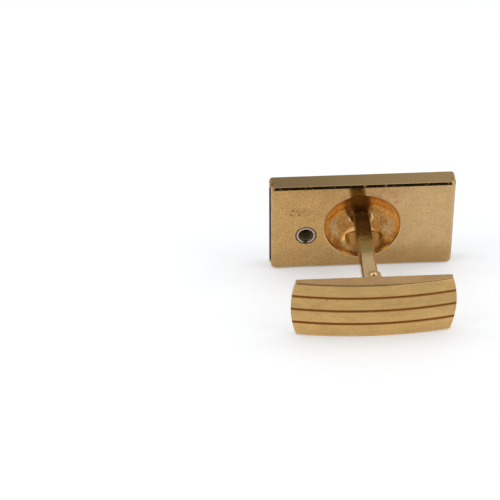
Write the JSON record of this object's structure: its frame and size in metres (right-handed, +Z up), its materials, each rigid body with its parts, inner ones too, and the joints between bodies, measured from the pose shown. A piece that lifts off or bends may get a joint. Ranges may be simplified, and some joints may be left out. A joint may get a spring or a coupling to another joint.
{
  "type": "cufflink",
  "caption": "Rectangular gold-coloured cufflink with a dished back, black stone face, small tube-set stone, square post and a grooved toggle that swivels on a riveted pin.",
  "frame": {"origin": "on the surface it lies on, under the middle of its outline", "axes": "+X along the face plate, +Z up, the toggle towards -Y"},
  "size_m": [0.0224, 0.0194, 0.0124],
  "materials": {
    "gold_plate": "polished gold-coloured metal with fine scratches and brown tarnish in its recesses",
    "black_stone": "polished",
    "white_metal": "satin",
    "dark_stone": "faceted and polished",
    "spring_steel": "rolled",
    "cement": "matte"
  },
  "bodies": {
    "face": {"back_tray": "gold_plate", "cement_bed": "cement", "face_slab": "black_stone", "stone_collet": "white_metal", "collet_stone": "dark_stone", "post": "gold_plate", "cam_barrel": "gold_plate"},
    "toggle": {"toggle_shell": "gold_plate", "toggle_back_plate": "white_metal", "leaf_spring": "spring_steel", "pivot_pin": "gold_plate"}
  },
  "joints": [
    {"name": "toggle_swivel", "type": "hinge", "parent": "face", "child": "toggle", "pos_m": [0, -0.00701, 0.00406], "axis": [0, -0.1426, 0.9898], "range_deg": [-90, 90]}
  ]
}
